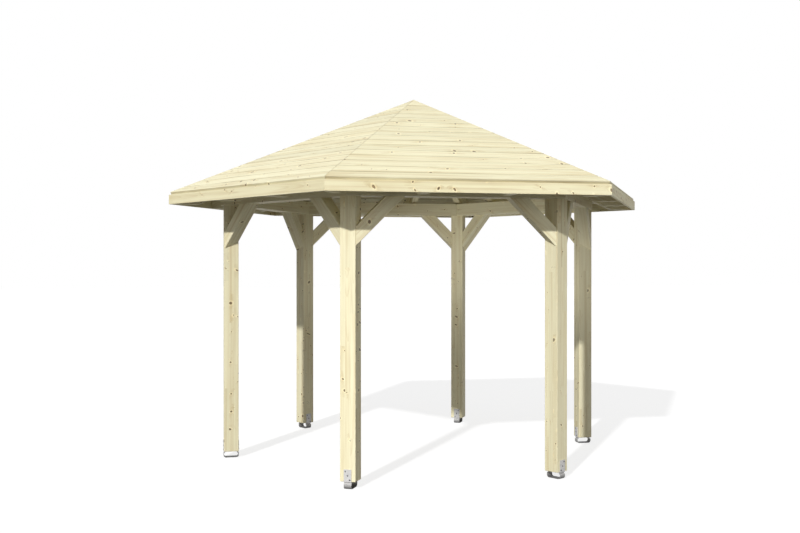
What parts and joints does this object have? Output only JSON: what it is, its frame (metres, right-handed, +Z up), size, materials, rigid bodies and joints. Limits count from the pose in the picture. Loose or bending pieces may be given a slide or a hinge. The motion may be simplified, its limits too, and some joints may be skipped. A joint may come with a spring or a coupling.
{
  "type": "garden gazebo",
  "caption": "Open six-sided timber gazebo: posts on steel strap anchors, a braced ring of beams, hip and jack rafters and a low boarded roof with a fascia.",
  "frame": {"origin": "on the ground under the top of the roof, the centre of the six posts", "axes": "+Z up, -Y out through the front wall, +X to the right-hand post as seen from the front"},
  "size_m": [4.1888, 3.6276, 3.068],
  "materials": {
    "planed_spruce": "planed, untreated",
    "roof_boards": "planed tongue and groove, untreated",
    "fascia_boards": "planed, untreated",
    "galvanised_steel": "hot-dip galvanised"
  },
  "bodies": {
    "root": {"crown_block": "planed_spruce", "post_front_left": "planed_spruce", "anchor_front_left": "galvanised_steel", "hip_rafter_front_left": "planed_spruce", "post_front_right": "planed_spruce", "anchor_front_right": "galvanised_steel", "hip_rafter_front_right": "planed_spruce", "post_right": "planed_spruce", "anchor_right": "galvanised_steel", "hip_rafter_right": "planed_spruce", "post_back_right": "planed_spruce", "anchor_back_right": "galvanised_steel", "hip_rafter_back_right": "planed_spruce", "post_back_left": "planed_spruce", "anchor_back_left": "galvanised_steel", "hip_rafter_back_left": "planed_spruce", "post_left": "planed_spruce", "anchor_left": "galvanised_steel", "hip_rafter_left": "planed_spruce", "beam_front": "planed_spruce", "braces_front": "planed_spruce", "jack_rafters_front": "planed_spruce", "roof_front": "roof_boards", "fascia_front": "fascia_boards", "beam_right_front": "planed_spruce", "braces_right_front": "planed_spruce", "jack_rafters_right_front": "planed_spruce", "roof_right_front": "roof_boards", "fascia_right_front": "fascia_boards", "beam_right_back": "planed_spruce", "braces_right_back": "planed_spruce", "jack_rafters_right_back": "planed_spruce", "roof_right_back": "roof_boards", "fascia_right_back": "fascia_boards", "beam_back": "planed_spruce", "braces_back": "planed_spruce", "jack_rafters_back": "planed_spruce", "roof_back": "roof_boards", "fascia_back": "fascia_boards", "beam_left_back": "planed_spruce", "braces_left_back": "planed_spruce", "jack_rafters_left_back": "planed_spruce", "roof_left_back": "roof_boards", "fascia_left_back": "fascia_boards", "beam_left_front": "planed_spruce", "braces_left_front": "planed_spruce", "jack_rafters_left_front": "planed_spruce", "roof_left_front": "roof_boards", "fascia_left_front": "fascia_boards"}
  },
  "joints": []
}
